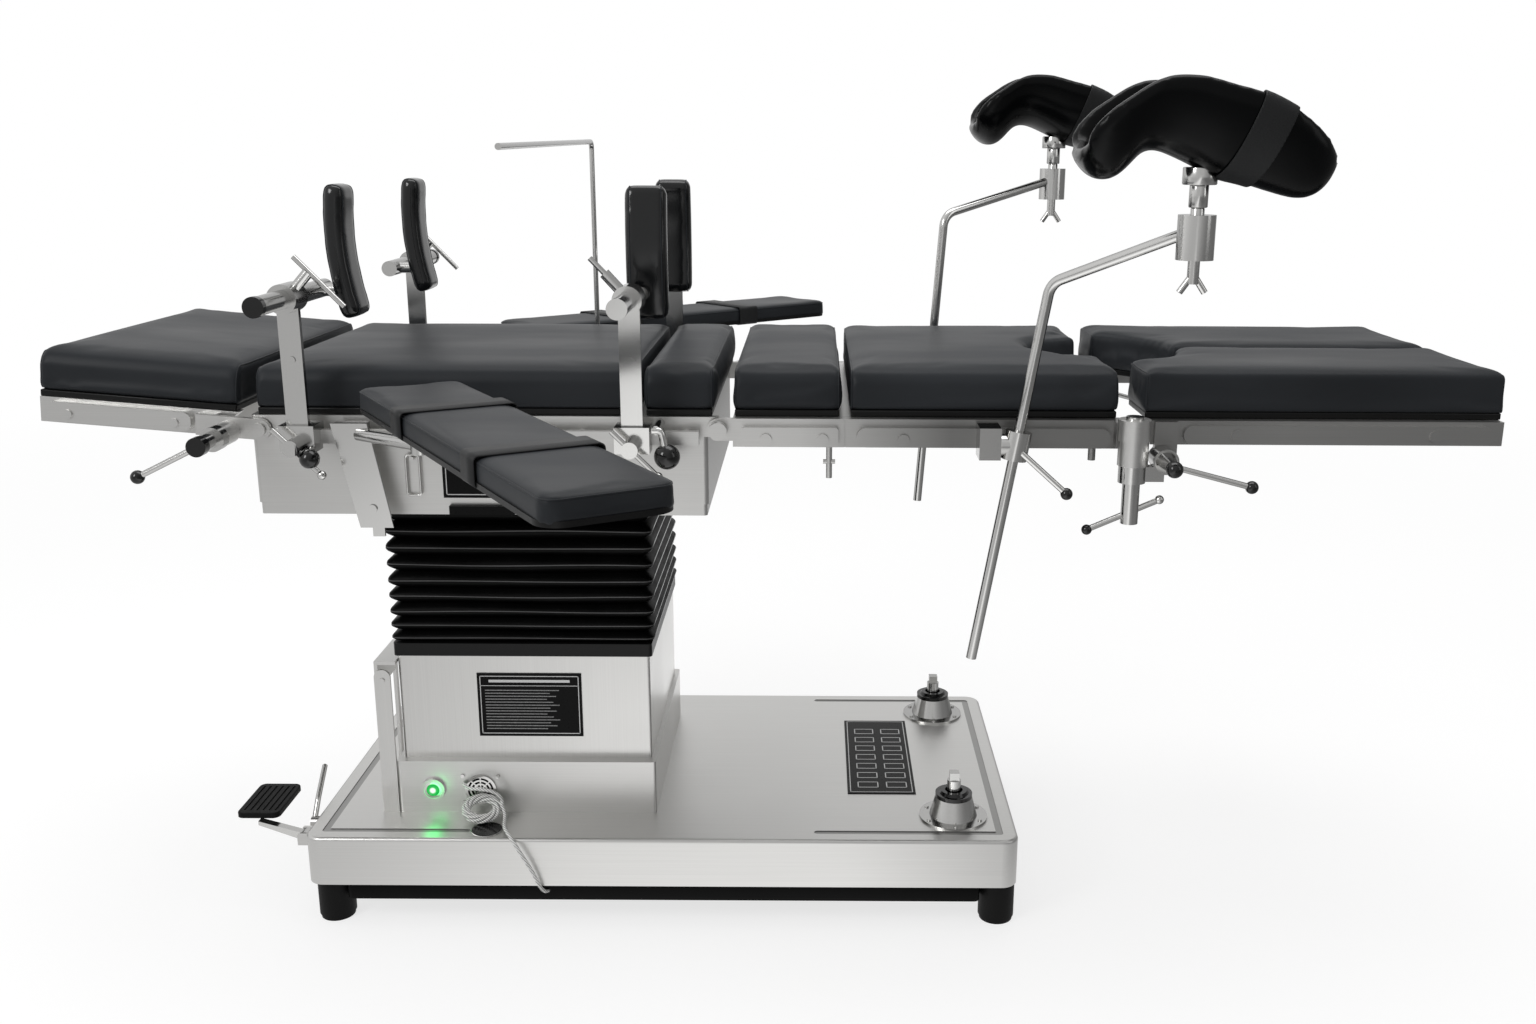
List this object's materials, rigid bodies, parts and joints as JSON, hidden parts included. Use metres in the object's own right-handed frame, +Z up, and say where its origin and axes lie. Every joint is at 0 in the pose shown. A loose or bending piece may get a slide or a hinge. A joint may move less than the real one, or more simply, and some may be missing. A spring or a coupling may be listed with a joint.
{
  "type": "operating table",
  "caption": "Mechanical operating table on a lifting column with sectioned cushions, arm boards, body supports, leg holders and a screen rod.",
  "frame": {"origin": "on the floor under the centre of the whole table's bounding box", "axes": "+X to the foot end of the table, +Y away from the near side, +Z up"},
  "size_m": [1.9571, 1.7088, 1.225],
  "materials": {
    "steel": "brushed",
    "chrome": "polished",
    "leather": "satin",
    "rubber": "satin",
    "plastic": "matt",
    "black_paint": "satin",
    "cord_cover": "satin",
    "button_lens": "gloss"
  },
  "bodies": {
    "base": {"base_cover": "steel", "base_chassis": "black_paint", "base_feet": "rubber", "jack_housings": "chrome", "column_plinth": "steel", "column_cover": "steel", "side_post": "steel", "data_plates": "black_paint", "vent_grille": "chrome", "lift_cylinder": "steel", "bellows_frame": "plastic", "bellows": "rubber", "power_cord": "cord_cover"},
    "button": {"power_button": "button_lens"},
    "pedal": {"pump_pedal": "steel", "pedal_pad": "rubber"},
    "release": {"release_lever": "chrome"},
    "jack_near": {"jack_screw_near": "chrome"},
    "jack_far": {"jack_screw_far": "chrome"},
    "lift": {"lift_ram": "chrome"},
    "cradle": {"tilt_cradle": "chrome"},
    "top": {"centre_housing": "steel", "centre_rails": "steel", "back_cushion": "leather", "control_plate": "black_paint", "rail_clamps": "steel"},
    "hanger": {"hanger_loop": "chrome"},
    "bridge": {"kidney_bridge": "leather"},
    "crank": {"kidney_crank": "chrome"},
    "head": {"head_frame": "steel", "head_cushion": "leather"},
    "head_lock": {"head_lever": "chrome"},
    "seat": {"seat_frame": "steel", "seat_cushions": "leather", "stirrup_clamps": "chrome"},
    "screen": {"screen_rod": "chrome"},
    "post_near": {"leg_post_near": "chrome"},
    "leg_near": {"leg_frame_near": "steel", "leg_cushion_near": "leather"},
    "leg_lock_near": {"leg_lever_near": "chrome"},
    "arm_near": {"arm_tray_near": "steel", "arm_pad_near": "leather"},
    "support_head_near": {"support_arm_head_near": "chrome", "support_pad_head_near": "leather"},
    "support_foot_near": {"support_arm_foot_near": "chrome", "support_pad_foot_near": "leather"},
    "stirrup_near": {"stirrup_rod_near": "chrome"},
    "holder_near": {"leg_holder_near": "leather"},
    "post_far": {"leg_post_far": "chrome"},
    "leg_far": {"leg_frame_far": "steel", "leg_cushion_far": "leather"},
    "leg_lock_far": {"leg_lever_far": "chrome"},
    "arm_far": {"arm_tray_far": "steel", "arm_pad_far": "leather"},
    "support_head_far": {"support_arm_head_far": "chrome", "support_pad_head_far": "leather"},
    "support_foot_far": {"support_arm_foot_far": "chrome", "support_pad_foot_far": "leather"},
    "stirrup_far": {"stirrup_rod_far": "chrome"},
    "holder_far": {"leg_holder_far": "leather"}
  },
  "joints": [
    {"name": "lift", "type": "slide", "parent": "base", "child": "lift", "axis": [0, 0, 1], "range_m": [-0.05, 0.18], "deforming": ["bellows"]},
    {"name": "side_tilt", "type": "hinge", "parent": "lift", "child": "cradle", "pos_m": [-0.363, 0.051, 0.69], "axis": [1, 0, 0], "range_deg": [-15, 15]},
    {"name": "end_tilt", "type": "hinge", "parent": "cradle", "child": "top", "pos_m": [-0.363, 0.051, 0.69], "axis": [0, 1, 0], "range_deg": [-15, 15]},
    {"name": "bridge_crank", "type": "hinge", "parent": "top", "child": "crank", "pos_m": [-0.148, -0.201, 0.738], "axis": [0, -1, 0], "range_deg": [0, 145]},
    {"name": "bridge_lift", "type": "slide", "parent": "top", "child": "bridge", "axis": [0, 0, 1], "range_m": [0, 0.04]},
    {"name": "hanger_swing", "type": "hinge", "parent": "top", "child": "hanger", "pos_m": [-0.48, -0.206, 0.689], "axis": [0, 1, 0], "range_deg": [-25, 25]},
    {"name": "head_tilt", "type": "hinge", "parent": "top", "child": "head", "pos_m": [-0.679, 0.051, 0.728], "axis": [0, 1, 0], "range_deg": [-60, 5]},
    {"name": "head_lock", "type": "hinge", "parent": "head", "child": "head_lock", "pos_m": [-0.71935, -0.249, 0.72516], "axis": [0, 1, 0], "range_deg": [-25, 25]},
    {"name": "seat_tilt", "type": "hinge", "parent": "top", "child": "seat", "pos_m": [-0.07, 0.051, 0.731], "axis": [0, -1, 0], "range_deg": [-12, 8]},
    {"name": "leg_swing_near", "type": "hinge", "parent": "seat", "child": "post_near", "pos_m": [0.476, -0.234, 0.72], "axis": [0, 0, -1], "range_deg": [0, 60]},
    {"name": "leg_tilt_near", "type": "hinge", "parent": "post_near", "child": "leg_near", "pos_m": [0.517, -0.234, 0.698], "axis": [0, -1, 0], "range_deg": [-80, 10]},
    {"name": "leg_lock_near", "type": "hinge", "parent": "post_near", "child": "leg_lock_near", "pos_m": [0.517, -0.259, 0.698], "axis": [0, 1, 0], "range_deg": [-20, 20]},
    {"name": "leg_swing_far", "type": "hinge", "parent": "seat", "child": "post_far", "pos_m": [0.476, 0.336, 0.72], "axis": [0, 0, 1], "range_deg": [0, 60]},
    {"name": "leg_tilt_far", "type": "hinge", "parent": "post_far", "child": "leg_far", "pos_m": [0.517, 0.336, 0.698], "axis": [0, -1, 0], "range_deg": [-80, 10]},
    {"name": "leg_lock_far", "type": "hinge", "parent": "post_far", "child": "leg_lock_far", "pos_m": [0.517, 0.361, 0.698], "axis": [0, 1, 0], "range_deg": [-20, 20]},
    {"name": "arm_swing_near", "type": "hinge", "parent": "top", "child": "arm_near", "pos_m": [-0.44, -0.298, 0.75], "axis": [0, 0, 1], "range_deg": [-31, 20]},
    {"name": "arm_swing_far", "type": "hinge", "parent": "top", "child": "arm_far", "pos_m": [-0.423, 0.4, 0.75], "axis": [0, 0, 1], "range_deg": [-10, 48]},
    {"name": "support_head_near_slide", "type": "slide", "parent": "top", "child": "support_head_near", "axis": [0, 1, 0], "range_m": [-0.045, 0.03]},
    {"name": "support_foot_near_slide", "type": "slide", "parent": "top", "child": "support_foot_near", "axis": [0, 1, 0], "range_m": [-0.045, 0.03]},
    {"name": "support_head_far_slide", "type": "slide", "parent": "top", "child": "support_head_far", "axis": [0, -1, 0], "range_m": [-0.045, 0.03]},
    {"name": "support_foot_far_slide", "type": "slide", "parent": "top", "child": "support_foot_far", "axis": [0, -1, 0], "range_m": [-0.045, 0.03]},
    {"name": "screen_turn", "type": "hinge", "parent": "top", "child": "screen", "pos_m": [-0.311, 0.343, 0.8], "axis": [0, 0, 1], "range_deg": [-25, 25]},
    {"name": "stirrup_slide_near", "type": "slide", "parent": "seat", "child": "stirrup_near", "axis": [0.165, 0, 0.9863], "range_m": [-0.08, 0.08]},
    {"name": "holder_turn_near", "type": "hinge", "parent": "stirrup_near", "child": "holder_near", "pos_m": [0.502, -0.369, 1.03], "axis": [0, 0, 1], "range_deg": [-30, 30]},
    {"name": "stirrup_slide_far", "type": "slide", "parent": "seat", "child": "stirrup_far", "axis": [0.0698, 0, 0.9976], "range_m": [-0.08, 0.08]},
    {"name": "holder_turn_far", "type": "hinge", "parent": "stirrup_far", "child": "holder_far", "pos_m": [0.469, 0.471, 1.03], "axis": [0, 0, 1], "range_deg": [-30, 30]},
    {"name": "pedal_press", "type": "hinge", "parent": "base", "child": "pedal", "pos_m": [-0.681, -0.175, 0.118], "axis": [0, -1, 0], "range_deg": [0, 12], "stiffness_Nm_per_rad": 12},
    {"name": "release_press", "type": "hinge", "parent": "base", "child": "release", "pos_m": [-0.676, -0.141, 0.122], "axis": [1, 0, 0], "range_deg": [-10, 10], "stiffness_Nm_per_rad": 3},
    {"name": "button_press", "type": "slide", "parent": "base", "child": "button", "axis": [0, 1, 0], "range_m": [0, 0.003], "stiffness_N_per_m": 600},
    {"name": "jack_turn_near", "type": "hinge", "parent": "base", "child": "jack_near", "pos_m": [0.265, -0.143, 0.16], "axis": [0, 0, 1], "continuous": true},
    {"name": "jack_turn_far", "type": "hinge", "parent": "base", "child": "jack_far", "pos_m": [0.265, 0.245, 0.16], "axis": [0, 0, 1], "continuous": true}
  ],
  "couplings": [
    {"joint": "bridge_lift", "follows": "bridge_crank", "m_per_rad": 0.015766}
  ]
}
